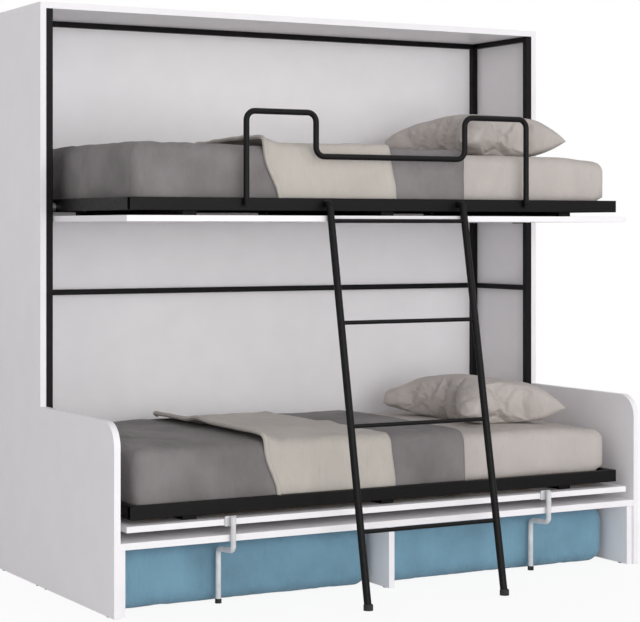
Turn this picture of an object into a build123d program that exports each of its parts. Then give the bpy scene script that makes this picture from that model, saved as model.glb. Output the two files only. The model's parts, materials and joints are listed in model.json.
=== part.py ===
"""Two fold-down beds, one over the other, in a shallow cabinet with a sofa base in front.

X runs along the beds, -Y points into the room, +Z is up, millimetres.
The origin is the centre of the footprint, on the floor.
"""
import os

from build123d import *

# Cabinet boards
width = 2100
height = 2032
cabinet_depth = 420
board = 22
back_board = 8
back_inset = 3
glide_height = 3
glide_radius = 10
glide_inset = 40
board_edge = 0.8

# Arms, seat shelf and its supports
arm_lead = 12
arm_rise = 354.5
arm_corner = 80
arm_heel = 4
shelf_drop = 30.5
shelf_set = 2
shelf_rear_gap = 3
support_set = 12
divider_set = 31

# Steel inner frame
tube = 25
tube_wall = 1.5
tube_edge = 2
rail_height = 20
middle_rail_drop = 250
bottom_rail_top = 60

# Folding beds
panel = 20
top_gap = 3
bed_gap = 3
floor_gap = 17
panel_end_gap = 1.5
panel_rear_gap = 26.5
pivot_seat = 15.5
spacer = 16
spacer_width = 50
spacer_pitch = 757
spacer_seat = 5
bed_rail = 43
bed_rail_width = 25
frame_end_gap = 26
bed_frame_setback = 28
ledge = 14
ledge_thickness = 3
ledge_rise = 8

# Slats
slat_count = 14
slat_width = 62
slat_thickness = 8
slat_crown = 3
slat_end_set = 70
slat_gap = 1.5

# Pivots
pin_radius = 8
bush_wall = 3
bush_flange = 2.5
bush_flange_radius = 15
running_gap = 0.05
plate_thickness = 6
plate_depth = 70
plate_height = 110
spring_post_gap = 0.5
spring_gap = 0.3
spring_step = 10
spring_edge = 2

# Bedding
bed_ease = 10
mattress_height = 182
mattress_edge = 34
mattress_foot_edge = 8
top_crown = 4
side_waist = 3
layer_gap = 0.3
duvet_tuck = 6
duvet_loft = 18
duvet_share = 0.675
blanket_tuck = 2
blanket_loft = 8
blanket_left_share = 0.245
blanket_right_share = 0.51
drop_gap = 9
pillow_length = 460
pillow_width = 700
pillow_thickness = 160
pillow_rim = 5
pillow_end_set = 82
pillow_front_set = 105
pillow_place_shares = (0.0, 0.08, 0.22, 0.45, 0.7, 0.9, 1.0)
pillow_reach_shares = (0.9, 0.95, 0.94, 0.92, 0.93, 0.97, 1.0)
pillow_swell_shares = (0.12, 0.55, 0.88, 1.0, 0.85, 0.45, 0.06)
pillow_belly_share = 0.12
top_roll_share = 0.8

# Seat cushions kept under the shelf
seat_head_gap = 11
seat_front_set = 84
seat_back_gap = 12
seat_side_gap = 5
seat_edge = 34
seat_crown = 5
seat_waist = 4
seat_foot_edge = 10

# Guard rail
guard_radius = 10
guard_wall = 2
guard_span = 1128
guard_inner_span = 600
guard_bend = 32
guard_rise = 288
guard_dip = 141
guard_tail = 25
guard_bolt_radius = 7
guard_bolt_head = 3
guard_bolt_rise = 11

# Ladder
stile_radius = 12.5
stile_wall = 2
stile_span = 537
stile_shift = 7
ladder_lean = 263
foot_radius = 16
foot_height = 20
foot_edge = 3
hook_rise = 61
hook_bend = 16
hook_tip = 4
stile_panel_gap = 3
rung_radius = 7
rung_count = 4
rung_rise = 2.1
first_rung = 248

# Support legs of the lower bed
leg_radius = 9
leg_wall = 1.5
leg_spacing = 1267
leg_front_gap = 5
leg_setback = 111
leg_bend = 20
leg_jog_drop = 52
leg_jog_fall = 7
leg_cap_height = 15
leg_cap_radius = 11
hook_plate = 3
hook_plate_width = 40
hook_plate_height = 30
hook_lip = 60
hook_play = 2.4

# Fasteners
bolt_head_radius = 6
bolt_head = 3
bolt_pitch = 450
wall_hole_radius = 3.5
wall_hole_spacing = 1500
panel_screw_radius = 5
panel_screw_head = 2

seat_gap = 0.3
overrun = 5

# Places that follow from the sizes above
half_width = width / 2
inner = half_width - board
post_inner = inner - tube
inside_top = height - board
frame_rise = panel + spacer
pivot_inset = frame_rise + pivot_seat
panel_depth = (inside_top - top_gap - floor_gap - bed_gap) / 2
panel_tail = cabinet_depth - back_inset - back_board - tube - panel_rear_gap
panel_reach = panel_depth - panel_tail
lower_level = floor_gap + panel_tail - 2 * pivot_inset
upper_level = lower_level + panel_depth + bed_gap

ladder_foot_reach = panel_reach + ladder_lean
total_depth = cabinet_depth + ladder_foot_reach + foot_radius
wall = total_depth / 2
front = wall - cabinet_depth
back_front = wall - back_inset - back_board
pivot_y = front + pivot_inset
spring_radius = pivot_inset - tube - spring_post_gap
middle_rail_top = upper_level - middle_rail_drop

arm_reach = panel_reach + arm_lead
arm_height = lower_level + arm_rise
shelf_top = lower_level - shelf_drop
shelf_under = shelf_top - board
shelf_front = front - arm_reach + shelf_set
shelf_rear = front - shelf_rear_gap
support_reach = arm_reach - support_set
divider_reach = arm_reach - divider_set
seat_height = shelf_under - seat_head_gap
seat_depth = divider_reach - shelf_rear_gap - seat_back_gap - seat_front_set
leg_jog_front = shelf_top - leg_jog_drop
leg_jog_rear = leg_jog_front - leg_jog_fall
rung_pitch = (upper_level + rung_rise - first_rung) / (rung_count - 1)

panel_front = front - panel_reach
panel_rear = panel_front + panel_depth
panel_half = post_inner - panel_end_gap
frame_front = panel_front + bed_frame_setback
frame_half = post_inner - frame_end_gap
frame_inner_half = frame_half - bed_rail_width
frame_inner_front = frame_front + bed_rail_width
frame_inner_rear = panel_rear - bed_rail_width
slat_rise = frame_rise + ledge_rise + ledge_thickness
mattress_rise = slat_rise + slat_thickness + slat_crown + layer_gap
mattress_half = frame_inner_half - bed_ease
mattress_front = frame_inner_front + bed_ease
mattress_rear = frame_inner_rear - bed_ease
mattress_top = mattress_rise + mattress_height
mattress_length = 2 * mattress_half

ladder_slope = (ladder_foot_reach - panel_reach - stile_radius - stile_panel_gap) / (upper_level + panel)


def block(x0, x1, y0, y1, z0, z1):
    """Plain rectangular solid between two corners."""
    size = Box(x1 - x0, y1 - y0, z1 - z0)
    return Pos((x0 + x1) / 2, (y0 + y1) / 2, (z0 + z1) / 2) * size


def board_between(x0, x1, y0, y1, z0, z1):
    """Panel with slightly broken edges."""
    plain = block(x0, x1, y0, y1, z0, z1)
    return fillet(plain.edges(), board_edge)


def box_tube(x0, x1, y0, y1, z0, z1, run):
    """Hollow square tube along the axis named by run."""
    wall_x = overrun if run == Axis.X else -tube_wall
    wall_y = overrun if run == Axis.Y else -tube_wall
    wall_z = overrun if run == Axis.Z else -tube_wall
    outer = block(x0, x1, y0, y1, z0, z1)
    outer = fillet(outer.edges().filter_by(run), tube_edge)
    hollow = block(x0 - wall_x, x1 + wall_x, y0 - wall_y, y1 + wall_y, z0 - wall_z, z1 + wall_z)
    return outer - hollow


def rod(start, end, radius):
    """Solid round bar between two points."""
    a = Vector(*start)
    b = Vector(*end)
    return Solid.make_cylinder(radius, (b - a).length, Plane(a, z_dir=b - a))


def pipe(points, radius, wall_thickness, bends):
    """Round tube along straight runs and tangent bends."""
    path = FilletPolyline(*points, radius=bends) if len(points) > 2 else Polyline(*points)
    section = Plane(path @ 0, z_dir=path % 0) * (Circle(radius) - Circle(radius - wall_thickness))
    return sweep(section, path)


def mirrored(solid):
    """The piece and its twin on the other side of X = 0."""
    return [solid, solid.mirror(Plane.YZ)]


def crowned_block(x0, x1, y0, y1, z0, z1, crown, waist, edge, foot_edge):
    """Soft block with a crowned top, sides drawn in between its corners and rounded edges."""
    xm = (x0 + x1) / 2
    ym = (y0 + y1) / 2
    plan = Wire([
        ThreePointArc((x0, y0), (xm, y0 + waist), (x1, y0)),
        ThreePointArc((x1, y0), (x1 - waist, ym), (x1, y1)),
        ThreePointArc((x1, y1), (xm, y1 - waist), (x0, y1)),
        ThreePointArc((x0, y1), (x0 + waist, ym), (x0, y0)),
    ])
    tall = z1 - z0 + crown + overrun
    body = Pos(0, 0, z0) * extrude(Face(plan), tall, dir=(0, 0, 1))
    across = Wire([
        Line((0, y0 - overrun, z0), (0, y1 + overrun, z0)),
        Line((0, y1 + overrun, z0), (0, y1 + overrun, z1)),
        ThreePointArc((0, y1 + overrun, z1), (0, ym, z1 + crown), (0, y0 - overrun, z1)),
        Line((0, y0 - overrun, z1), (0, y0 - overrun, z0)),
    ])
    reach_x = abs(x0) + abs(x1) + overrun
    body = body & extrude(Face(across), reach_x, dir=(1, 0, 0), both=True)
    body = fillet(body.edges().filter_by(Axis.Z), edge)
    upper = [e for e in body.edges() if e.center().Z > z1 - edge]
    body = fillet(upper, edge * top_roll_share)
    if foot_edge == 0:
        return body
    lower = [e for e in body.edges() if e.center().Z < z0 + board_edge]
    return fillet(lower, foot_edge)


pieces = {}


def keep(name, solids):
    """Store one node as a single solid or as a group of separate solids."""
    group = solids if isinstance(solids, list) else [solids]
    found = [s for item in group for s in item.solids()]
    pieces[name] = found[0] if len(found) == 1 else Compound(children=found)


def wall_holes():
    """Bars the size of the two wall screw holes, through the top rear rail and the back board."""
    z = inside_top - rail_height / 2
    half = wall_hole_spacing / 2
    return [rod((x, back_front - tube - overrun, z), (x, wall, z), wall_hole_radius) for x in (-half, half)]


def make_cabinet():
    """White boards: sides, top, two back boards, arms, seat shelf and what carries it."""
    side = board_between(inner, half_width, front, wall, glide_height, inside_top)
    sides = mirrored(side)
    keep("right_side_panel", sides[0])
    keep("left_side_panel", sides[1])
    keep("top_panel", board_between(-half_width, half_width, front, wall, inside_top, height))
    rear = wall - back_inset
    seam = middle_rail_top - rail_height / 2
    keep("lower_back_panel", board_between(-inner, inner, back_front, rear, glide_height, seam))
    upper_back = board_between(-inner, inner, back_front, rear, seam, inside_top)
    keep("upper_back_panel", upper_back - wall_holes())

    arm_front = front - arm_reach
    arm = block(inner, half_width, arm_front, front, glide_height, arm_height)
    nose = arm.edges().filter_by(Axis.X).group_by(Axis.Y)[0].sort_by(Axis.Z)[-1]
    arm = fillet(nose, arm_corner)
    heel = arm.edges().filter_by(Axis.X).group_by(Axis.Y)[0].sort_by(Axis.Z)[0]
    arm = fillet(heel, arm_heel)
    arms = mirrored(arm)
    keep("right_arm_panel", arms[0])
    keep("left_arm_panel", arms[1])

    keep("seat_shelf", board_between(-inner, inner, shelf_front, shelf_rear, shelf_under, shelf_top))
    support_front = front - support_reach
    support = board_between(inner - board, inner, support_front, shelf_rear, glide_height, shelf_under)
    keep("shelf_supports", mirrored(support))
    divider_front = front - divider_reach
    half_board = board / 2
    divider = board_between(-half_board, half_board, divider_front, shelf_rear, glide_height, shelf_under)
    keep("shelf_divider", divider)

    glides = []
    for x in (inner + board / 2, inner - board / 2):
        for y in (front - glide_inset, front - arm_reach + glide_inset + board):
            glides += mirrored(Pos(x, y, glide_height / 2) * Cylinder(glide_radius, glide_height))
    for y in (front + glide_inset, wall - glide_inset):
        glides += mirrored(Pos(inner + board / 2, y, glide_height / 2) * Cylinder(glide_radius, glide_height))
    for y in (divider_front + glide_inset, shelf_rear - glide_inset):
        glides.append(Pos(0, y, glide_height / 2) * Cylinder(glide_radius, glide_height))
    keep("floor_glides", glides)


def make_seat_cushions():
    """Two foam seat cushions that stand in the bays under the shelf."""
    bay_inner = board / 2 + seat_side_gap
    bay_outer = inner - board - seat_side_gap
    rear = shelf_rear - seat_back_gap
    cushion = crowned_block(bay_inner, bay_outer, rear - seat_depth, rear, 0, seat_height - seat_crown,
                            seat_crown, seat_waist, seat_edge, seat_foot_edge)
    pair = mirrored(cushion)
    keep("right_seat_cushion", pair[0])
    keep("left_seat_cushion", pair[1])


def make_steel_frame():
    """Black square tubes inside the cabinet and the bolts that hold them to the sides."""
    front_post = box_tube(post_inner, inner, front, front + tube, glide_height, inside_top, Axis.Z)
    rear_post = box_tube(post_inner, inner, back_front - tube, back_front, glide_height, inside_top, Axis.Z)
    keep("front_posts", mirrored(front_post))
    keep("rear_posts", mirrored(rear_post))
    rear_front = back_front - tube
    for name, top in (("top_rear_rail", inside_top), ("middle_rear_rail", middle_rail_top),
                      ("bottom_rear_rail", bottom_rail_top)):
        rail = box_tube(-post_inner, post_inner, rear_front, back_front, top - rail_height, top, Axis.X)
        if name == "top_rear_rail":
            rail = rail - wall_holes()
        keep(name, rail)
    side_rails = []
    for top in (inside_top, middle_rail_top):
        rail = box_tube(post_inner, inner, front + tube, rear_front, top - rail_height, top, Axis.Y)
        side_rails += mirrored(rail)
    keep("side_rails", side_rails)

    bolts = []
    steps = int((inside_top - bolt_pitch) // bolt_pitch) + 1
    for step in range(steps):
        z = bolt_pitch / 2 + step * bolt_pitch
        head = rod((post_inner - bolt_head, rear_front + tube / 2, z), (post_inner, rear_front + tube / 2, z),
                   bolt_head_radius)
        bolts += mirrored(head)
    keep("frame_bolts", bolts)


def make_pivots():
    """Pivot plates, bushes and spring housings beside the front posts, for both beds."""
    plates = []
    bushes = []
    springs = []
    for level in (lower_level, upper_level):
        z = level + pivot_inset
        plate = block(post_inner, post_inner + plate_thickness, front + tube, front + tube + plate_depth,
                      z - plate_height / 2, z + plate_height / 2)
        bush_radius = pin_radius + running_gap + bush_wall
        bore = rod((post_inner - overrun, pivot_y, z), (inner, pivot_y, z), bush_radius)
        plates += mirrored(plate - bore)
        sleeve = rod((post_inner, pivot_y, z), (post_inner + plate_thickness, pivot_y, z), bush_radius)
        flange = rod((post_inner - bush_flange, pivot_y, z), (post_inner, pivot_y, z), bush_flange_radius)
        clearance = rod((post_inner - overrun, pivot_y, z), (inner + overrun, pivot_y, z),
                        pin_radius + running_gap)
        bushes += mirrored(sleeve + flange - clearance)
        housing_start = post_inner + plate_thickness
        housing = rod((housing_start, pivot_y, z), (inner - spring_gap, pivot_y, z), spring_radius)
        housing = chamfer(housing.edges().sort_by(Axis.X)[-1:], spring_edge)
        springs += mirrored(housing - clearance)
    keep("pivot_plates", plates)
    keep("pivot_bushes", bushes)
    keep("pivot_springs", springs)


def slatted_base(prefix, level):
    """White face panel, spacers, black frame with slat ledges, slats, screws and pivot pins of one bed."""
    keep(prefix + "_face_panel",
         board_between(-panel_half, panel_half, panel_front, panel_rear, level, level + panel))
    spacers = []
    spacer_front = frame_inner_front - spacer_seat
    spacer_rear = frame_inner_rear + spacer_seat
    for x in (-spacer_pitch, 0, spacer_pitch):
        spacers.append(block(x - spacer_width / 2, x + spacer_width / 2, spacer_front, spacer_rear,
                             level + panel, level + frame_rise))
    keep(prefix + "_cross_bars", spacers)

    low = level + frame_rise
    high = low + bed_rail
    ledge_low = low + ledge_rise
    front_rail = box_tube(-frame_half, frame_half, frame_front, frame_inner_front, low, high, Axis.X)
    front_ledge = block(-frame_inner_half, frame_inner_half, frame_inner_front, frame_inner_front + ledge,
                        ledge_low, ledge_low + ledge_thickness)
    keep(prefix + "_front_rail", front_rail + front_ledge)
    rear_rail = box_tube(-frame_half, frame_half, frame_inner_rear, panel_rear, low, high, Axis.X)
    rear_ledge = block(-frame_inner_half, frame_inner_half, frame_inner_rear - ledge, frame_inner_rear,
                       ledge_low, ledge_low + ledge_thickness)
    keep(prefix + "_rear_rail", rear_rail + rear_ledge)
    z = level + pivot_inset
    end_rail = box_tube(frame_inner_half, frame_half, frame_inner_front, frame_inner_rear, low, high, Axis.Y)
    pin_hole = rod((frame_inner_half - overrun, pivot_y, z), (frame_half + overrun, pivot_y, z), pin_radius)
    keep(prefix + "_end_rails", mirrored(end_rail - pin_hole))
    collar_end = post_inner - bush_flange - seat_gap
    collar = rod((frame_half, pivot_y, z), (collar_end, pivot_y, z), bush_flange_radius)
    shank = rod((frame_inner_half + tube_wall, pivot_y, z), (inner - spring_gap - spring_step, pivot_y, z),
                pin_radius)
    keep(prefix + "_pivot_pins", mirrored(collar + shank))

    slats = []
    pitch = 2 * (frame_inner_half - slat_end_set) / (slat_count - 1)
    base = low + ledge_rise + ledge_thickness
    y0 = frame_inner_front + slat_gap
    y1 = frame_inner_rear - slat_gap
    ym = (y0 + y1) / 2
    profile = Wire([
        Line((0, y0, base), (0, y1, base)),
        Line((0, y1, base), (0, y1, base + slat_thickness)),
        ThreePointArc((0, y1, base + slat_thickness), (0, ym, base + slat_thickness + slat_crown),
                      (0, y0, base + slat_thickness)),
        Line((0, y0, base + slat_thickness), (0, y0, base)),
    ])
    slat = extrude(Face(profile), slat_width / 2, dir=(1, 0, 0), both=True)
    for index in range(slat_count):
        slats.append(Pos(-frame_inner_half + slat_end_set + index * pitch, 0, 0) * slat)
    keep(prefix + "_slats", slats)

    screws = []
    screw_inset = ledge + panel_screw_radius
    for x in (-spacer_pitch, 0, spacer_pitch):
        for y in (frame_inner_front + screw_inset, frame_inner_rear - screw_inset):
            screws.append(rod((x, y, low), (x, y, low + panel_screw_head), panel_screw_radius))
    keep(prefix + "_panel_screws", screws)


def shell_of_cloth(level, start_x, end_x, inner_grow, outer_grow, inner_rise, outer_rise, drop):
    """Cloth over the top, front and foot end of the mattress, between two grown mattress shapes."""
    base = level + frame_rise + bed_rail - drop
    shapes = []
    for grow, rise, low in ((outer_grow, outer_rise, base), (inner_grow, inner_rise, base - overrun)):
        shapes.append(crowned_block(-mattress_half - grow, mattress_half + grow, mattress_front - grow,
                                    mattress_rear, low, level + mattress_top + rise, top_crown, side_waist,
                                    mattress_edge + grow, 0))
    cloth = shapes[0] - shapes[1]
    window = block(start_x, end_x, wall - total_depth, mattress_rear - mattress_edge, 0, height)
    return cloth & window


def bedding(prefix, level):
    """Mattress, duvet, blanket and pillow of one bed."""
    mattress = crowned_block(-mattress_half, mattress_half, mattress_front, mattress_rear,
                             level + mattress_rise, level + mattress_top, top_crown, side_waist,
                             mattress_edge, mattress_foot_edge)
    keep(prefix + "_mattress", mattress)

    duvet_end = -mattress_half + duvet_share * mattress_length
    duvet_out = layer_gap + duvet_tuck
    duvet_top = layer_gap + duvet_loft
    keep(prefix + "_duvet", shell_of_cloth(level, -half_width, duvet_end, layer_gap, duvet_out,
                                           layer_gap, duvet_top, drop_gap))
    start_x = -mattress_half + blanket_left_share * mattress_length
    end_x = -mattress_half + blanket_right_share * mattress_length
    keep(prefix + "_blanket", shell_of_cloth(level, start_x, end_x, duvet_out + layer_gap,
                                             duvet_out + layer_gap + blanket_tuck,
                                             duvet_top + layer_gap,
                                             duvet_top + layer_gap + blanket_loft, drop_gap))
    keep(prefix + "_pillow", make_pillow(level))


def make_pillow(level):
    """Plump pillow across the bed: a lens section that swells and shrinks along X, its sides drawn in."""
    left = mattress_half - pillow_end_set - pillow_length
    middle_y = mattress_front + pillow_front_set + pillow_width / 2
    rest = level + mattress_top + top_crown + layer_gap
    sections = []
    for place, reach, swell in zip(pillow_place_shares, pillow_reach_shares, pillow_swell_shares):
        x = left + place * pillow_length
        half = reach * pillow_width / 2
        top = pillow_rim + swell * (pillow_thickness - pillow_rim)
        dip = swell * pillow_belly_share * pillow_thickness
        centre = rest + pillow_belly_share * pillow_thickness
        sections.append(Wire([
            ThreePointArc((x, middle_y - half, centre), (x, middle_y, centre - dip),
                          (x, middle_y + half, centre)),
            Line((x, middle_y + half, centre), (x, middle_y + half, centre + pillow_rim)),
            ThreePointArc((x, middle_y + half, centre + pillow_rim),
                          (x, middle_y, centre + top - dip), (x, middle_y - half, centre + pillow_rim)),
            Line((x, middle_y - half, centre + pillow_rim), (x, middle_y - half, centre)),
        ]))
    return Solid.make_loft(sections)


def make_guard_rail():
    """One bent round tube with a loop at each end, and the two bolts through its feet."""
    y = frame_front - seat_gap - guard_radius
    rail_top = upper_level + frame_rise + bed_rail
    outer = guard_span / 2
    inner_x = guard_inner_span / 2
    low = rail_top - guard_tail
    high = rail_top + guard_rise
    dip = rail_top + guard_dip
    points = [(-outer, y, low), (-outer, y, high), (-inner_x, y, high), (-inner_x, y, dip),
              (inner_x, y, dip), (inner_x, y, high), (outer, y, high), (outer, y, low)]
    keep("guard_rail", pipe(points, guard_radius, guard_wall, guard_bend))
    heads = []
    for x in (-outer, outer):
        z = low + guard_bolt_rise
        heads.append(rod((x, y - guard_radius - guard_bolt_head, z), (x, y - guard_radius, z),
                         guard_bolt_radius))
    keep("guard_bolts", heads)


def stile_y(z):
    """Depth of a ladder stile's centre line at a height."""
    return front - ladder_foot_reach + ladder_slope * z


def make_ladder():
    """Two leaning stiles with bent tops, four rungs between them, rubber feet and tips."""
    hook_z = upper_level + hook_rise
    tip_y = frame_front - seat_gap - hook_tip
    stiles = []
    feet = []
    tips = []
    xs = (stile_shift - stile_span / 2, stile_shift + stile_span / 2)
    for x in xs:
        bend_y = stile_y(hook_z)
        points = [(x, stile_y(0), 0), (x, bend_y, hook_z), (x, tip_y, hook_z)]
        stile = pipe(points, stile_radius, stile_wall, hook_bend)
        floor_cut = block(x - foot_radius, x + foot_radius, front - ladder_foot_reach - 2 * foot_radius,
                          front - ladder_foot_reach + 2 * foot_radius, -foot_radius, foot_height)
        stiles.append(stile - floor_cut)
        foot = Pos(x, stile_y(0), foot_height / 2) * Cylinder(foot_radius, foot_height)
        feet.append(fillet(foot.edges().group_by(Axis.Z)[-1], foot_edge))
        tips.append(rod((x, tip_y, hook_z), (x, tip_y + hook_tip, hook_z), stile_radius))
    keep("ladder_stiles", stiles)
    keep("ladder_feet", feet)
    keep("ladder_tips", tips)
    rungs = []
    for index in range(rung_count):
        z = first_rung + index * rung_pitch
        bar = rod((xs[0], stile_y(z), z), (xs[1], stile_y(z), z), rung_radius)
        for x in xs:
            bar = bar - rod((x, stile_y(0), 0), (x, stile_y(hook_z), hook_z), stile_radius)
        rungs.append(bar)
    keep("ladder_rungs", rungs)


def make_leg(name, x):
    """Z-shaped round leg with a hook plate under the face panel and a black cap on the floor."""
    front_y = shelf_front - leg_front_gap - leg_radius
    rear_y = front_y + leg_setback
    plate_front = panel_front - hook_play - hook_plate
    top = lower_level - seat_gap
    points = [(x, front_y, top + hook_plate_height), (x, front_y, leg_jog_front),
              (x, rear_y, leg_jog_rear), (x, rear_y, leg_cap_height)]
    tube_piece = pipe(points, leg_radius, leg_wall, leg_bend)
    keep(name + "_leg", tube_piece)
    half = hook_plate_width / 2
    upright = block(x - half, x + half, plate_front, plate_front + hook_plate, top - hook_plate,
                    top + hook_plate_height)
    lip = block(x - half, x + half, plate_front, plate_front + hook_lip, top - hook_plate, top)
    web_front = front_y + leg_radius
    web = block(x - hook_plate / 2, x + hook_plate / 2, web_front - leg_wall / 2, plate_front,
                top - hook_plate, top + hook_plate_height)
    bracket = upright + lip
    if plate_front > web_front:
        bracket = bracket + web - rod((x, front_y, 0), (x, front_y, height), leg_radius)
    keep(name + "_leg_bracket", bracket)
    cap = Pos(x, rear_y, leg_cap_height / 2) * Cylinder(leg_cap_radius, leg_cap_height)
    keep(name + "_leg_cap", fillet(cap.edges().group_by(Axis.Z)[-1], foot_edge))


make_cabinet()
make_seat_cushions()
make_steel_frame()
make_pivots()
for bed_name, bed_level in (("upper", upper_level), ("lower", lower_level)):
    slatted_base(bed_name, bed_level)
    bedding(bed_name, bed_level)
make_guard_rail()
make_ladder()
make_leg("left", -leg_spacing / 2)
make_leg("right", leg_spacing / 2)

os.makedirs("parts", exist_ok=True)
for node, shape in pieces.items():
    export_step(shape, os.path.join("parts", node + ".step"))
print("nodes", len(pieces), "upper pivot", pivot_y, upper_level + pivot_inset,
      "lower pivot", lower_level + pivot_inset)
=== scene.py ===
"""Wall cabinet with two fold-down beds over a sofa base, dressed and lit for the photograph's view.

Metres, in the row frame: X runs along the beds, -Y points into the room, Z is up.
"""

import itertools
import json
import math

import bmesh
import bpy
import numpy as np
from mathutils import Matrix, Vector, noise


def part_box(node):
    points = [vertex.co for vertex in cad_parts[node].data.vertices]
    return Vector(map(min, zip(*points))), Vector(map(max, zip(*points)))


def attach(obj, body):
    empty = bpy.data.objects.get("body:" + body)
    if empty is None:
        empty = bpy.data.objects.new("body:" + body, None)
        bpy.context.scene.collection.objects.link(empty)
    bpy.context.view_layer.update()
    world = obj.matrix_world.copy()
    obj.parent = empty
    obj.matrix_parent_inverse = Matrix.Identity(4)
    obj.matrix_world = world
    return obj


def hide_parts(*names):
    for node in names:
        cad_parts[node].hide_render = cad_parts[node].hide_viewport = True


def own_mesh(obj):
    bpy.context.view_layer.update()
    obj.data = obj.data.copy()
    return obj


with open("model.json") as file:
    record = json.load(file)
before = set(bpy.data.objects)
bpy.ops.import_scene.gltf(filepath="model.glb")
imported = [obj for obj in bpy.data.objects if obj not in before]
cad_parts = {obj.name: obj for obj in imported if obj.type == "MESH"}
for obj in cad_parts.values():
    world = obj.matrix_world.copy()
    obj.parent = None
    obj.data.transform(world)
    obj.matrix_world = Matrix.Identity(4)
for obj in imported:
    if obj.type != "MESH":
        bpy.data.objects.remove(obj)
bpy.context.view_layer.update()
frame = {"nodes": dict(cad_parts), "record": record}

mm = 0.001
tiny = 1e-9

# Lengths are in metres. Waves are a noise's wavelengths along X, Y and Z, and reach is where a change
# starts and ends

# Noise
seed_shift = (3.7, 1.9, 5.3)
bedding_seed = 11
pillow_seed = 17
seed_step = 20

# Camera of the photograph
camera_place = (-3.468, -6.0614, 1.2469)
camera_turn = -0.510
camera_lens = 108.5
camera_sensor = 36
camera_drop = -0.130

# Cloth layers on a bed
cell = 11 * mm
fold_round = 40 * mm
cloth_play = 1.2 * mm

# Fitted sheet over the mattress
side_share = 0.9
end_bulge = 21 * mm
bulge_rise = 14 * mm
end_fall = 13 * mm
end_fall_share = 0.8
sheet_waist = 3 * mm
sheet_pull = 3 * mm
sheet_pull_waves = (0.05, 0.05, 0.4)
sheet_pull_seed = 3
sheet_pull_reach = (0.75, 0.93)
sheet_ripple = 1.5 * mm
sheet_ripple_waves = (0.4, 0.3, 0.3)
sheet_ripple_seed = 8
sheet_thread = 0.9 * mm
sheet_crown = 6 * mm
crown_power = 0.3

# Duvet
duvet_wall = 5 * mm
duvet_hem = 26 * mm
duvet_edge_low = 60 * mm
duvet_edge_high = 30 * mm
duvet_wander = 14 * mm
duvet_wander_reach = 300 * mm
duvet_edge_waves = (0.5, 0.25, 0.2)
duvet_crumple = 7 * mm
duvet_loft_share = 0.15
tucked_height = 10 * mm
free_height = 60 * mm
swell_waves = (0.3, 0.35, 0.25)
swell_share = 0.9
crease_waves = (0.055, 0.16, 0.3)
crease_share = 0.4
foot_crease_share = 1.6
foot_reach = (-0.9, -0.55)

# Blanket
blanket_wall = 4 * mm
blanket_lip = 24 * mm
blanket_lip_width = 85 * mm
blanket_hem = 8 * mm
blanket_corner = 60 * mm
blanket_front_slant = 48 * mm
blanket_rear_slant = 20 * mm
blanket_turns = {"upper": 120 * mm, "lower": -35 * mm}
blanket_edge_low = 50 * mm
blanket_edge_high = 25 * mm
blanket_wander = 12 * mm
blanket_edge_waves = (5, 0.3, 0.25)
blanket_crumple = 15 * mm
blanket_crumple_waves = (0.2, 0.14, 0.2)
blanket_thread = 1.3 * mm
hem_segments = 3

# Cloth under pressure
cloth_quality = 6
cloth_mass = 0.3
cloth_bending = 0.4

# Pillows
pillow_cells = (56, 84)
pillow_ease_share = 1.07
pillow_gap = 6 * mm
pillow_puff = 20 * mm
pillow_flat = 12 * mm
pillow_crumple = 12 * mm
pillow_frames = 26
pillow_pressure = 6.0
pillow_stiffness = 12
pillow_cap = 1.0
pillow_sink = 1 * mm
pillow_belly_share = 0.78
pillow_corner_share = 0.085
pillow_corner_lead = 0.88
pillow_corner_from_share = 0.55
pillow_tip_share = 0.6
pillow_tip_fall = 14 * mm
plump_edge_power = 4
plump_power = 0.55
plump_foot_share = 0.05
plump_head_share = 0.9
plump_reach_share = (-0.15, 0.4)
fold_waves = (0.07, 0.09, 0.12)
small_fold_waves = (0.03, 0.05, 0.06)
fold_level = 0.35
fold_reach_share = (-0.35, 0.1)
head_fold_share = 0.25
seam_flat = 4 * mm
seam_depth = 30 * mm

# Seat cushions
cushion_cell = 12 * mm
cushion_round = 50 * mm
cushion_pressure = 4.0
cushion_stiffness = 15
cushion_frames = 20
cushion_shrink = 2 * mm
cushion_cap = 9 * mm
cushion_dent = 3 * mm
cushion_dent_waves = (0.16, 0.2, 0.12)
cushion_lift = 0.5 * mm
cushion_seeds = {"left": 41, "right": 47}
cover_thread = 1.6 * mm

# Weave: a wave texture of scale 1 repeats about every 0.3 m
wave_period = 0.3
patch_share = 0.75

# Studio: each lamp's place, aim, size and power
lamps = {
    "key": ((2.2, -5.4, 3.6), (0, 0, 0.9), 2.6, 50),
    "front": ((-1.0, -7.5, 0.9), (0, 0, 0.8), 4.0, 265),
    "side": ((-5.5, -3.0, 2.2), (0, 0, 0.9), 3.0, 22),
}
ambient_colour = (1.0, 0.985, 1.0, 1)
ambient_strength = 0.5

# Floor: it turns white between near and far, measured from the middle
floor_size = 60
floor_drop = 0.5 * mm
floor_near = 1.0
floor_far = 2.2
floor_reach = 4.0
floor_near_white = 0.9

# Colours
screen_gamma = 2.2


def linear(red, green, blue):
    """Linear colour of a screen colour given from 0 to 255."""
    return tuple((c / 255) ** screen_gamma for c in (red, green, blue)) + (1.0,)


board_white = linear(246, 244, 246)
coat_black = linear(15, 13, 14)
coat_grey = linear(214, 215, 217)
plate_grey = linear(178, 180, 182)
taupe = linear(191, 184, 179)
duvet_grey = linear(128, 124, 124)
beige = linear(190, 184, 176)
cover_blue = linear(115, 152, 171)
floor_grey = linear(244, 244, 245)
beech_dark = linear(176, 132, 84)
beech_middle = linear(205, 164, 112)
beech_light = linear(219, 184, 136)
rubber_dark = linear(28, 28, 29)
rubber_light = linear(46, 45, 46)
nylon_dark = linear(48, 48, 50)
nylon_light = linear(62, 62, 64)

# Materials


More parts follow.
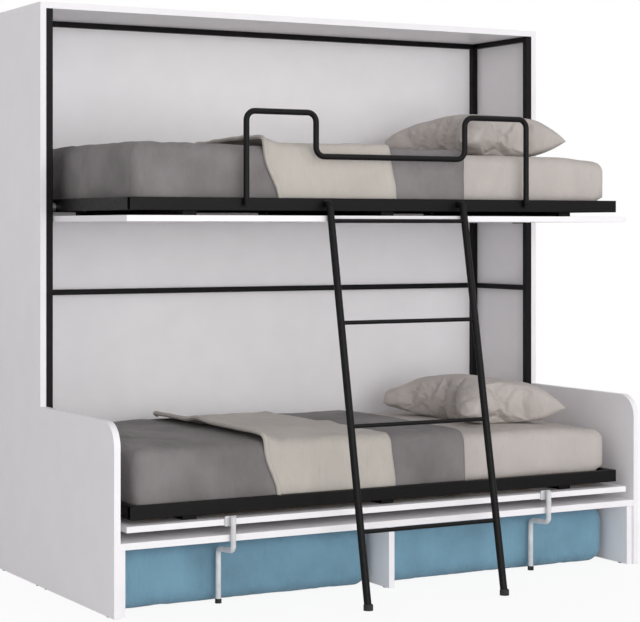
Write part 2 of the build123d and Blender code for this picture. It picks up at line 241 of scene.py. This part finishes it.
class Nodes:
    """Short way to build one material's node tree."""

    def __init__(self, name):
        self.material = bpy.data.materials.new(name)
        self.material.use_nodes = True
        self.tree = self.material.node_tree
        self.shader = self.tree.nodes["Principled BSDF"]
        self.place = self.tree.nodes.new("ShaderNodeTexCoord").outputs["Object"]

    def stretched(self, scales):
        """Object coordinates multiplied along each axis."""
        mapping = self.tree.nodes.new("ShaderNodeMapping")
        mapping.inputs["Scale"].default_value = scales
        self.tree.links.new(self.place, mapping.inputs["Vector"])
        return mapping.outputs["Vector"]

    def noise(self, scale, detail=2.0, scales=(1, 1, 1)):
        """Cloudy pattern with scale clouds to a metre."""
        node = self.tree.nodes.new("ShaderNodeTexNoise")
        node.inputs["Scale"].default_value = scale
        node.inputs["Detail"].default_value = detail
        self.tree.links.new(self.stretched(scales), node.inputs["Vector"])
        return node.outputs["Fac"]

    def wave(self, direction, scale):
        """Even bands across one axis."""
        node = self.tree.nodes.new("ShaderNodeTexWave")
        node.bands_direction = direction
        node.inputs["Scale"].default_value = scale
        self.tree.links.new(self.place, node.inputs["Vector"])
        return node.outputs["Fac"]

    def maths(self, operation, first, second):
        """Result of an operation on two sockets or numbers."""
        node = self.tree.nodes.new("ShaderNodeMath")
        node.operation = operation
        for socket, value in zip(node.inputs, (first, second)):
            if isinstance(value, (int, float)):
                socket.default_value = value
            else:
                self.tree.links.new(value, socket)
        return node.outputs[0]

    def ramp(self, factor, stops):
        """Colour or grey that runs through (place, colour) stops."""
        node = self.tree.nodes.new("ShaderNodeValToRGB")
        elements = node.color_ramp.elements
        while len(elements) < len(stops):
            elements.new(0.5)
        for element, (position, colour) in zip(elements, stops):
            element.position = position
            element.color = colour
        self.tree.links.new(factor, node.inputs["Fac"])
        return node.outputs["Color"]

    def vary(self, socket, pattern, low, high, start=0.3, end=0.7):
        """Runs a socket of the shader from low to high as the pattern rises from start to end."""
        self.link(self.ramp(pattern, [(start, low), (end, high)]), socket)

    def bump(self, height, strength, distance):
        """Adds a relief on top of any relief that the material already has."""
        node = self.tree.nodes.new("ShaderNodeBump")
        node.inputs["Strength"].default_value = strength
        node.inputs["Distance"].default_value = distance
        self.tree.links.new(height, node.inputs["Height"])
        for earlier in self.shader.inputs["Normal"].links:
            self.tree.links.new(earlier.from_socket, node.inputs["Normal"])
        self.tree.links.new(node.outputs["Normal"], self.shader.inputs["Normal"])

    def link(self, output, socket):
        """Feeds an output into a socket of the shader."""
        self.tree.links.new(output, self.shader.inputs[socket])

    def set(self, **values):
        """Plain values of the shader's sockets, with _ for each space in a name."""
        for name, value in values.items():
            self.shader.inputs[name.replace("_", " ")].default_value = value


def grey(value):
    """The value as a colour."""
    return (value, value, value, 1.0)


def shades(colour, spread):
    """A colour a little darker and a little lighter."""
    dark = tuple(c * (1 - spread) for c in colour[:3]) + (1.0,)
    light = tuple(min(1.0, c * (1 + spread)) for c in colour[:3]) + (1.0,)
    return dark, light


def melamine(name):
    """White board: faint mottle, fine orange peel and a satin surface."""
    m = Nodes(name)
    dark, light = shades(board_white, spread=0.012)
    m.vary("Base Color", m.noise(scale=9, detail=3), dark, light, start=0.35, end=0.65)
    m.vary("Roughness", m.noise(scale=60), grey(0.34), grey(0.44))
    m.bump(m.noise(scale=900), strength=0.12, distance=0.2 * mm)
    m.set(Specular_IOR_Level=0.4)
    return m.material


def powder_coat(name, colour, rough):
    """Painted tube: fine pebbled texture with slightly uneven gloss."""
    m = Nodes(name)
    dark, light = shades(colour, spread=0.12)
    m.vary("Base Color", m.noise(scale=24, detail=3), dark, light)
    m.vary("Roughness", m.noise(scale=80), grey(rough - 0.05), grey(rough + 0.07))
    m.bump(m.noise(scale=1400), strength=0.35, distance=0.25 * mm)
    m.set(Specular_IOR_Level=0.18)
    return m.material


def zinc(name):
    """Bare plated steel, brushed along X."""
    m = Nodes(name)
    dark, light = shades(plate_grey, spread=0.1)
    brushed = m.noise(scale=700, detail=3, scales=(0.05, 1, 1))
    m.vary("Base Color", brushed, dark, light)
    m.vary("Roughness", brushed, grey(0.28), grey(0.42), start=0.2, end=0.8)
    m.bump(brushed, strength=0.2, distance=0.1 * mm)
    m.set(Metallic=1.0)
    return m.material


def beech(name):
    """Lacquered slats with the grain along Y."""
    m = Nodes(name)
    grain = m.noise(scale=130, detail=5, scales=(1, 0.06, 1))
    stops = [(0.25, beech_dark), (0.5, beech_middle), (0.75, beech_light)]
    m.link(m.ramp(grain, stops), "Base Color")
    m.vary("Roughness", grain, grey(0.38), grey(0.5), start=0.2, end=0.8)
    m.bump(grain, strength=0.25, distance=0.3 * mm)
    return m.material


def cloth(name, colour, spread, thread, fuzz):
    """Plain woven cloth: crossed threads, stray fibres, small creases and soft patches of shade."""
    m = Nodes(name)
    dark, light = shades(colour, spread)
    patches = m.noise(scale=5, detail=4)
    fibres = m.noise(scale=1 / thread)
    m.bump(m.noise(scale=11, detail=3, scales=(1.6, 1, 0.6)), strength=0.6, distance=26 * mm)
    m.bump(m.noise(scale=45, scales=(1.5, 1, 0.7)), strength=0.4, distance=4 * mm)
    mixed = m.maths("ADD", m.maths("MULTIPLY", patches, patch_share),
                    m.maths("MULTIPLY", fibres, 1 - patch_share))
    m.vary("Base Color", mixed, dark, light, start=0.36, end=0.62)
    bands = wave_period / thread
    across = m.wave("X", bands)
    down = m.maths("ADD", m.wave("Y", bands), m.wave("Z", bands))
    weave = m.maths("ADD", m.maths("MULTIPLY", across, down), fibres)
    m.bump(weave, strength=0.4, distance=0.35 * mm)
    m.vary("Roughness", fibres, grey(0.82), grey(0.95))
    m.set(Sheen_Weight=fuzz, Sheen_Roughness=0.5, Specular_IOR_Level=0.15)
    return m.material


def rubber(name):
    """Matte black rubber with a dusty grain."""
    m = Nodes(name)
    m.vary("Base Color", m.noise(scale=70, detail=4), rubber_dark, rubber_light)
    m.vary("Roughness", m.noise(scale=200), grey(0.7), grey(0.85))
    m.bump(m.noise(scale=1600), strength=0.3, distance=0.2 * mm)
    return m.material


def nylon(name):
    """Moulded dark plastic with a fine spark texture."""
    m = Nodes(name)
    m.vary("Base Color", m.noise(scale=40, detail=3), nylon_dark, nylon_light)
    m.vary("Roughness", m.noise(scale=300), grey(0.45), grey(0.6))
    m.bump(m.noise(scale=2200), strength=0.25, distance=0.15 * mm)
    return m.material


finishes = {
    "white_board": melamine("white melamine"),
    "black_steel": powder_coat("black powder coat", coat_black, rough=0.5),
    "grey_steel": powder_coat("light grey powder coat", coat_grey, rough=0.38),
    "bare_steel": zinc("zinc plate"),
    "slat_wood": beech("lacquered beech"),
    "taupe_cotton": cloth("taupe cotton", taupe, spread=0.05, thread=sheet_thread, fuzz=0.1),
    "grey_cotton": cloth("grey cotton", duvet_grey, spread=0.18, thread=sheet_thread, fuzz=0.08),
    "beige_cotton": cloth("beige cotton", beige, spread=0.05, thread=blanket_thread, fuzz=0.15),
    "blue_fabric": cloth("blue upholstery", cover_blue, spread=0.14, thread=cover_thread, fuzz=0.2),
    "black_rubber": rubber("black rubber"),
    "nylon": nylon("dark nylon"),
}


def finish_cad_nodes():
    """Every CAD node gets the procedural finish of its slot."""
    for part in frame["record"]["subparts"]:
        node = frame["nodes"][part["node"]]
        node.data.materials.clear()
        node.data.materials.append(finishes[part["material_slot"]])


# Mesh helpers

cell_corners = ((0, 0), (1, 0), (1, 1), (0, 1))


def smooth_object(name, mesh):
    """Object with smooth faces, linked to the scene."""
    for polygon in mesh.polygons:
        polygon.use_smooth = True
    made = bpy.data.objects.new(name, mesh)
    bpy.context.scene.collection.objects.link(made)
    return made


def as_object(name, points, faces):
    """Smooth object made of points and rings of their numbers."""
    mesh = bpy.data.meshes.new(name)
    mesh.from_pydata([tuple(p) for p in points], [], faces)
    mesh.update()
    return smooth_object(name, mesh)


def lattice_sides(cells):
    """Corner keys of each cell on a lattice's six sides, and whether the side is one of the low ones."""
    for axis in range(3):
        a = (axis + 1) % 3
        b = (axis + 2) % 3
        for side in (0, cells[axis]):
            for p, q in itertools.product(range(cells[a]), range(cells[b])):
                ring = []
                for dp, dq in cell_corners:
                    key = [0, 0, 0]
                    key[axis] = side
                    key[a] = p + dp
                    key[b] = q + dq
                    ring.append(tuple(key))
                yield ring, side == 0


def lattice_box(name, low, high, radius, step):
    """Closed box of near-square cells between two corners, its edges rounded to radius."""
    low = np.array(low, float)
    high = np.array(high, float)
    cells = np.maximum(np.round((high - low) / step).astype(int), 2)
    index = {}
    faces = []
    for ring, is_low in lattice_sides(cells):
        numbers = [index.setdefault(key, len(index)) for key in ring]
        faces.append(numbers[::-1] if is_low else numbers)
    points = low + (high - low) * np.array(list(index)) / cells
    core = np.clip(points, low + radius, high - radius)
    out = points - core
    points = core + out * (radius / np.linalg.norm(out, axis=1))[:, None]
    return as_object(name, points, faces)


def coordinates(obj):
    """Vertex places as rows of three."""
    co = np.empty(len(obj.data.vertices) * 3)
    obj.data.vertices.foreach_get("co", co)
    return co.reshape(-1, 3)


def set_coordinates(obj, co):
    """Moves the vertices to rows of three."""
    obj.data.vertices.foreach_set("co", np.ascontiguousarray(co, dtype=np.float32).ravel())
    obj.data.update()


def normals(obj):
    """Outward direction at each vertex."""
    found = np.empty(len(obj.data.vertices) * 3)
    obj.data.vertex_normals.foreach_get("vector", found)
    return found.reshape(-1, 3)


def cut_away(obj, beyond):
    """Removes the faces whose centre is beyond the cloth's edge."""
    bm = bmesh.new()
    bm.from_mesh(obj.data)
    gone = [f for f in bm.faces if beyond(f.calc_center_median())]
    bmesh.ops.delete(bm, geom=gone, context="FACES")
    bm.to_mesh(obj.data)
    bm.free()


def noise_field(co, wavelengths, seed):
    """Smooth noise at each point, with its own wavelength along each axis."""
    shift = Vector([seed * part for part in seed_shift])
    scales = [1 / w for w in wavelengths]
    return np.array([noise.noise(Vector((p[0] * scales[0], p[1] * scales[1], p[2] * scales[2])) + shift)
                     for p in co])


def smooth_step(value, low, high):
    """0 up to low, 1 from high on, with an even slope at both."""
    t = np.clip((value - low) / (high - low), 0, 1)
    return t * t * (3 - 2 * t)


def apply_modifiers(obj):
    """Turns the modified shape into the object's own mesh."""
    depsgraph = bpy.context.evaluated_depsgraph_get()
    mesh = bpy.data.meshes.new_from_object(obj.evaluated_get(depsgraph))
    old = obj.data
    obj.modifiers.clear()
    obj.data = mesh
    bpy.data.meshes.remove(old)
    for polygon in obj.data.polygons:
        polygon.use_smooth = True


def give_thickness(obj, wall):
    """Turns an open cloth surface into a closed shell, inwards."""
    solid = obj.modifiers.new("wall", "SOLIDIFY")
    solid.thickness = wall
    solid.offset = -1
    solid.use_even_offset = False
    apply_modifiers(obj)


def dress(obj, slot_name, body, *nodes):
    """Gives a soft piece its finish, its body and the CAD nodes it stands for."""
    obj.data.materials.clear()
    obj.data.materials.append(finishes[slot_name])
    if nodes:
        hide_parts(*nodes)
    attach(obj, body)
    return obj


def inflate(obj, pressure, frames, stiffness, cap):
    """Lets cloth pressure fill a closed mesh, then keeps each point within cap of where it began."""
    start = coordinates(obj)
    modifier = obj.modifiers.new("fill", "CLOTH")
    settings = modifier.settings
    settings.quality = cloth_quality
    settings.mass = cloth_mass
    settings.tension_stiffness = stiffness
    settings.compression_stiffness = stiffness
    settings.shear_stiffness = stiffness / 2
    settings.bending_stiffness = cloth_bending
    settings.use_pressure = True
    settings.uniform_pressure_force = pressure
    settings.effector_weights.gravity = 0
    modifier.point_cache.frame_start = 1
    modifier.point_cache.frame_end = frames
    for number in range(1, frames + 1):
        bpy.context.scene.frame_set(number)
    apply_modifiers(obj)
    moved = coordinates(obj) - start
    length = np.maximum(np.linalg.norm(moved, axis=1), tiny)
    set_coordinates(obj, start + moved * np.minimum(1, cap / length)[:, None])
    bpy.context.scene.frame_set(1)


def tube_along(name, points, radius):
    """Round roll of cloth through points, closed at its ends."""
    curve = bpy.data.curves.new(name, "CURVE")
    curve.dimensions = "3D"
    curve.bevel_depth = radius
    curve.bevel_resolution = hem_segments
    curve.use_fill_caps = True
    spline = curve.splines.new("POLY")
    spline.points.add(len(points) - 1)
    for target, point in zip(spline.points, points):
        target.co = (*point, 1)
    holder = bpy.data.objects.new(name + "_line", curve)
    bpy.context.scene.collection.objects.link(holder)
    depsgraph = bpy.context.evaluated_depsgraph_get()
    mesh = bpy.data.meshes.new_from_object(holder.evaluated_get(depsgraph))
    bpy.data.objects.remove(holder)
    return smooth_object(name, mesh)


# Bedding


def crumple(co, seed):
    """Height of the duvet's soft folds at each point: broad swells and upright creases near the foot end."""
    swells = noise_field(co, swell_waves, seed)
    creases = noise_field(co, crease_waves, seed + 5)
    foot = 1 - smooth_step(co[:, 0], *foot_reach)
    return swells * swell_share + creases * (crease_share + foot_crease_share * foot)


def make_mattress(prefix, body):
    """Mattress under its taut fitted sheet, crowned on top and drawn in along its sides."""
    node = prefix + "_mattress"
    low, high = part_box(node)
    uncrowned = high - Vector((0, 0, sheet_crown))
    shape = lattice_box(prefix + "_mattress_in_sheet", low, uncrowned, fold_round, cell)
    co = coordinates(shape)
    middle = np.array((low + high) / 2)
    half = np.array((high - low) / 2)
    place = (co - middle) / half
    across = 1 - np.clip(np.abs(place), 0, 1) ** 2
    up = smooth_step(co[:, 2], low.z, high.z)
    co[:, 2] += sheet_crown * across[:, 0] ** crown_power * across[:, 1] * up
    co[:, 2] -= end_fall * up * smooth_step(place[:, 0], end_fall_share, 1)
    drawn = sheet_waist * across[:, 2] * across[:, 0] * (np.abs(place[:, 1]) > side_share)
    co[:, 1] -= np.sign(place[:, 1]) * drawn
    rail_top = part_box(prefix + "_end_rails")[1].z
    proud = smooth_step(co[:, 2], rail_top, rail_top + bulge_rise)
    co[:, 0] += end_bulge * proud * smooth_step(place[:, 0], side_share, 1)
    near_ends = smooth_step(np.abs(co[:, 0]), *sheet_pull_reach)
    pulls = noise_field(co, sheet_pull_waves, sheet_pull_seed) * near_ends
    ripples = noise_field(co, sheet_ripple_waves, sheet_ripple_seed)
    set_coordinates(shape, co)
    inwards = np.abs(pulls) * sheet_pull + np.abs(ripples) * sheet_ripple
    set_coordinates(shape, co - normals(shape) * inwards[:, None])
    dress(shape, "taupe_cotton", body, node)


def duvet_surface(prefix, name, grow, start_x, end_x, seed, turn=0):
    """Open cloth over the top, front and foot end, grown by grow from the duvet's own outer face.

    Its rear edge is shifted along the bed by turn.
    """
    low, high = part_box(prefix + "_duvet")
    mattress_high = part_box(prefix + "_mattress")[1]
    far = fold_round + 2 * cell
    corner_low = (low.x - grow, low.y - grow, low.z - far)
    corner_high = (end_x + far, mattress_high.y + far, high.z - sheet_crown + grow)
    shape = lattice_box(name, corner_low, corner_high, fold_round, cell)
    rear = mattress_high.y - fold_round

    def beyond(centre):
        return centre.x > end_x or centre.x < start_x or centre.y > rear or centre.z < low.z

    cut_away(shape, beyond)
    co = coordinates(shape)
    co[:, 0] += turn * np.clip((co[:, 1] - low.y) / (rear - low.y), 0, 1)
    across = 1 - np.clip(np.abs((co[:, 1] - (low.y + rear) / 2) / ((rear - low.y) / 2)), 0, 1) ** 2
    co[:, 2] += sheet_crown * across * smooth_step(co[:, 2], low.z, high.z)
    set_coordinates(shape, co)
    folds = duvet_loft_share + (1 - duvet_loft_share) * np.clip(crumple(co, seed), -1, 1)
    free = smooth_step(co[:, 2], low.z + tucked_height, low.z + free_height)
    set_coordinates(shape, co + normals(shape) * (folds * duvet_crumple * free)[:, None])
    return shape


def make_duvet(prefix, body, seed):
    """Grey duvet with a rounded hem towards the pillow."""
    node = prefix + "_duvet"
    low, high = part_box(node)
    mattress_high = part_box(prefix + "_mattress")[1]
    shape = duvet_surface(prefix, prefix + "_quilt", 0, low.x - cell, high.x, seed)
    co = coordinates(shape)
    near = np.clip((co[:, 0] - (high.x - duvet_hem)) / duvet_hem, 0, 1)
    fall = 1 - np.sqrt(1 - near ** 2)
    loft = high.z - mattress_high.z - duvet_wall
    top = smooth_step(co[:, 2], high.z - duvet_edge_low, high.z - duvet_edge_high)
    co[:, 2] -= fall * loft * top
    wander = noise_field(co, duvet_edge_waves, seed + 2) * duvet_wander
    co[:, 0] += wander * smooth_step(co[:, 0], high.x - duvet_wander_reach, high.x)
    set_coordinates(shape, co)
    give_thickness(shape, duvet_wall)
    dress(shape, "grey_cotton", body, node)


def lay_blanket(shape, low, high, turn, seed):
    """Slants and crumples the blanket, lifts its foot-end edge and returns the points along that edge."""
    co = coordinates(shape)
    back = co[:, 1].max()
    turned = turn * np.clip((co[:, 1] - low.y) / (back - low.y), 0, 1)
    share = (co[:, 0] - turned - low.x) / (high.x - low.x)
    down = 1 - smooth_step(co[:, 2], low.z, high.z - fold_round)
    co[:, 0] += down * (blanket_front_slant * (1 - share) + blanket_rear_slant * share)
    corner = np.clip((co[:, 1] - back + blanket_corner) / blanket_corner, 0, 1)
    co[:, 0] += blanket_corner * corner ** 2 * (1 - share) / 2
    co[:, 0] += noise_field(co, blanket_edge_waves, seed + 4) * blanket_wander
    lip = (1 - smooth_step(share * (high.x - low.x), 0, blanket_lip_width)) * (1 - corner ** 2 / 2)
    top = smooth_step(co[:, 2], high.z - blanket_edge_low, high.z - blanket_edge_high)
    ripple = np.clip(noise_field(co, blanket_crumple_waves, seed + 9), 0, 1) * blanket_crumple
    co[:, 2] += top * (lip * blanket_lip + ripple)
    set_coordinates(shape, co)
    edge = co[share < 0.5 * cell / (high.x - low.x)]
    return edge[np.argsort(-edge[:, 1] - edge[:, 2])]


def make_blanket(prefix, body, seed):
    """Beige blanket laid across the duvet, with a rolled hem on the edge towards the foot end."""
    node = prefix + "_blanket"
    low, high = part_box(node)
    turn = blanket_turns[prefix]
    shape = duvet_surface(prefix, prefix + "_throw", cloth_play + blanket_wall, low.x, high.x, seed, turn)
    edge = lay_blanket(shape, low, high, turn, seed) + np.array((blanket_hem, 0, -blanket_wall / 2))
    hem = tube_along(prefix + "_throw_hem", edge, blanket_hem)
    dress(hem, "beige_cotton", body)
    give_thickness(shape, blanket_wall)
    dress(shape, "beige_cotton", body, node)


def pillow_case(name, length, width):
    """Two layers of cloth joined at their rims, a few millimetres apart, before they are filled."""
    along, across = pillow_cells
    index = {}
    faces = []

    def number(i, j, side):
        """Number of the point there. Both layers share the rim's points."""
        rim = i in (0, along) or j in (0, across)
        return index.setdefault((i, j, 0 if rim else side), len(index))

    for side in (-1, 1):
        for i, j in itertools.product(range(along + 1), range(across + 1)):
            number(i, j, side)
        for i, j in itertools.product(range(along), range(across)):
            ring = [number(i + di, j + dj, side) for di, dj in cell_corners]
            faces.append(ring if side > 0 else ring[::-1])
    points = [((i / along - 0.5) * length, (j / across - 0.5) * width, layer * pillow_gap)
              for i, j, layer in index]
    return as_object(name, points, faces)


def filled_case(shape, size):
    inflate(shape, pillow_pressure, pillow_frames, pillow_stiffness, pillow_cap)
    return coordinates(shape)
    co = coordinates(shape)
    half = np.array(size[:2]) * pillow_ease_share / 2
    edge = (1 - (co[:, 0] / half[0]) ** 2) * (1 - (co[:, 1] / half[1]) ** 2)
    co[:, 2] = np.sign(co[:, 2]) * 0.5 * size.z * np.clip(edge, 0, 1) ** plump_power
    return co


def plumped(co, start, head_side):
    """Fills what the cloth lacks of a full pillow, mostly at the head end, and flattens its underside."""
    edge = 1 - np.abs(start[:, :2] / start[:, :2].max(0)) ** plump_edge_power
    filled = plump_foot_share + (plump_head_share - plump_foot_share) * head_side
    lack = np.maximum(0, co[:, 2].max() * np.prod(edge, 1) ** plump_power - np.abs(co[:, 2]))
    co[:, 2] += np.sign(start[:, 2]) * lack * filled
    co[:, 2] *= np.where(co[:, 2] < 0, pillow_belly_share, 2 - pillow_belly_share)
    return co


def with_pulled_corners(co, size, head_side):
    """Draws the corners in, and thins and lowers the two away from the head end."""
    place = 2 * co[:, :2] / np.array(size[:2])
    drawn = pillow_corner_share * (pillow_corner_lead - place[:, 0])
    corner = smooth_step(np.abs(place[:, 0] * place[:, 1]), pillow_corner_from_share, 1)
    co[:, :2] *= (1 - drawn * corner)[:, None]
    tip = corner * (1 - head_side)
    co[:, 2] = co[:, 2] * (1 - pillow_tip_share * tip) - pillow_tip_fall * tip
    return co


def pillow_creases(co, size, seed):
    """Height of the creases at each point: deepest away from the head end, none at the seam."""
    folds = noise_field(co, fold_waves, seed) + noise_field(co, small_fold_waves, seed + 3) / 2
    ridge = (fold_level - np.abs(folds)) * pillow_crumple
    foot_side = 1 - smooth_step(co[:, 0] / size.x, *fold_reach_share)
    folded = head_fold_share + (1 - head_fold_share) * foot_side
    thick = smooth_step(np.abs(co[:, 2]), seam_flat, seam_depth)
    return ridge * folded * thick


def make_pillow(prefix, body, seed):
    """Filled pillow case with pulled corners, crumpled at the end towards the blanket."""
    node = prefix + "_pillow"
    low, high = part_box(node)
    size = high - low
    shape = pillow_case(prefix + "_stuffed_pillow", size.x * pillow_ease_share, size.y * pillow_ease_share)
    start = coordinates(shape)
    head_side = smooth_step(start[:, 0] / size.x, *plump_reach_share)
    co = filled_case(shape, size)
    extent = co.max(0) - co.min(0)
    co = co * (np.array((size.x, size.y, size.z + pillow_puff)) / extent)
    co = plumped(co, start, head_side)
    co = with_pulled_corners(co, size, head_side)
    set_coordinates(shape, co)
    co = co + normals(shape) * pillow_creases(co, size, seed)[:, None]
    centre = np.array((low + high) / 2)
    rest = low.z - pillow_sink
    centre[2] = rest + pillow_belly_share * (size.z + pillow_puff) / 2 - pillow_flat
    co = co + centre
    co[:, 2] = np.where(co[:, 2] < rest, rest, co[:, 2])
    set_coordinates(shape, co)
    smoother = shape.modifiers.new("finer", "SUBSURF")
    smoother.levels = 1
    smoother.render_levels = 1
    apply_modifiers(shape)
    dress(shape, "taupe_cotton", body, node)
    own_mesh(shape)


def make_seat_cushion(side):
    """Foam seat cushion in its blue cover, filled by cloth pressure, a little dented where it stands."""
    node = side + "_seat_cushion"
    low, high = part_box(node)
    inset = Vector((cushion_shrink,) * 3)
    shape = lattice_box(side + "_stuffed_cushion", low + inset, high - inset, cushion_round, cushion_cell)
    inflate(shape, cushion_pressure, cushion_frames, cushion_stiffness, cushion_cap)
    co = coordinates(shape)
    co[:, 2] = np.maximum(co[:, 2], low.z + cushion_lift)
    for axis in (0, 1):
        co[:, axis] = np.clip(co[:, axis], low[axis], high[axis])
    co[:, 2] = np.minimum(co[:, 2], high.z)
    set_coordinates(shape, co)
    dents = np.abs(noise_field(co, cushion_dent_waves, cushion_seeds[side]))
    set_coordinates(shape, co - normals(shape) * (dents * cushion_dent)[:, None])
    dress(shape, "blue_fabric", "cabinet", node)


# Studio


def make_camera():
    """Camera fitted to the photograph, level, with its picture shifted downwards."""
    data = bpy.data.cameras.new("camera")
    data.lens = camera_lens
    data.sensor_width = camera_sensor
    data.shift_y = camera_drop
    camera = bpy.data.objects.new("camera", data)
    camera.location = camera_place
    camera.rotation_euler = (math.pi / 2, 0, camera_turn)
    bpy.context.scene.collection.objects.link(camera)
    bpy.context.scene.camera = camera


def soft_lamp(name, place, aim, size, power):
    """Square lamp at place, turned towards aim."""
    data = bpy.data.lights.new(name, "AREA")
    data.shape = "SQUARE"
    data.size = size
    data.energy = power
    lamp = bpy.data.objects.new(name, data)
    lamp.location = place
    lamp.rotation_euler = (Vector(aim) - Vector(place)).to_track_quat("-Z", "Y").to_euler()
    bpy.context.scene.collection.objects.link(lamp)


def make_world():
    """Pale ambient light, with white where the camera or a reflection looks past the scene."""
    world = bpy.data.worlds.new("studio")
    bpy.context.scene.world = world
    world.use_nodes = True
    tree = world.node_tree
    tree.nodes.clear()
    paths = tree.nodes.new("ShaderNodeLightPath")
    seen = tree.nodes.new("ShaderNodeMath")
    seen.operation = "MAXIMUM"
    tree.links.new(paths.outputs["Is Camera Ray"], seen.inputs[0])
    tree.links.new(paths.outputs["Is Glossy Ray"], seen.inputs[1])
    ambient = tree.nodes.new("ShaderNodeBackground")
    ambient.inputs["Color"].default_value = ambient_colour
    ambient.inputs["Strength"].default_value = ambient_strength
    white = tree.nodes.new("ShaderNodeBackground")
    white.inputs["Strength"].default_value = 1.0
    white.inputs["Color"].default_value = (1, 1, 1, 1)
    mix = tree.nodes.new("ShaderNodeMixShader")
    output = tree.nodes.new("ShaderNodeOutputWorld")
    tree.links.new(seen.outputs[0], mix.inputs["Fac"])
    tree.links.new(ambient.outputs[0], mix.inputs[1])
    tree.links.new(white.outputs[0], mix.inputs[2])
    tree.links.new(mix.outputs[0], output.inputs["Surface"])


def make_floor():
    """Pale floor that keeps the object's shadow and turns white away from it."""
    bpy.ops.mesh.primitive_plane_add(size=floor_size, location=(0, 0, -floor_drop))
    floor = bpy.context.object
    floor.name = "floor"
    m = Nodes("pale floor")
    dark, light = shades(floor_grey, spread=0.01)
    m.vary("Base Color", m.noise(scale=3, detail=3), dark, light)
    m.set(Roughness=0.8)
    tree = m.tree
    length = tree.nodes.new("ShaderNodeVectorMath")
    length.operation = "LENGTH"
    tree.links.new(m.place, length.inputs[0])
    share = m.maths("MULTIPLY", length.outputs["Value"], 1 / floor_reach)
    stops = [(floor_near / floor_reach, grey(floor_near_white)), (floor_far / floor_reach, grey(1))]
    away = m.ramp(share, stops)
    white = tree.nodes.new("ShaderNodeEmission")
    white.inputs["Strength"].default_value = 1.0
    paths = tree.nodes.new("ShaderNodeLightPath")
    amount = m.maths("MULTIPLY", away, paths.outputs["Is Camera Ray"])
    mix = tree.nodes.new("ShaderNodeMixShader")
    tree.links.new(amount, mix.inputs["Fac"])
    tree.links.new(m.shader.outputs[0], mix.inputs[1])
    tree.links.new(white.outputs[0], mix.inputs[2])
    tree.links.new(mix.outputs[0], tree.nodes["Material Output"].inputs["Surface"])
    floor.data.materials.append(m.material)


finish_cad_nodes()
for number, prefix in enumerate(("upper", "lower")):
    body = prefix + "_bed"
    make_mattress(prefix, body)
    make_duvet(prefix, body, bedding_seed + seed_step * number)
    make_blanket(prefix, body, bedding_seed + seed_step * number)
    make_pillow(prefix, body, pillow_seed + seed_step * number)
for side in ("left", "right"):
    make_seat_cushion(side)
make_camera()
for name, values in lamps.items():
    soft_lamp(name, *values)
make_world()
make_floor()
bpy.context.scene.view_settings.view_transform = "Standard"
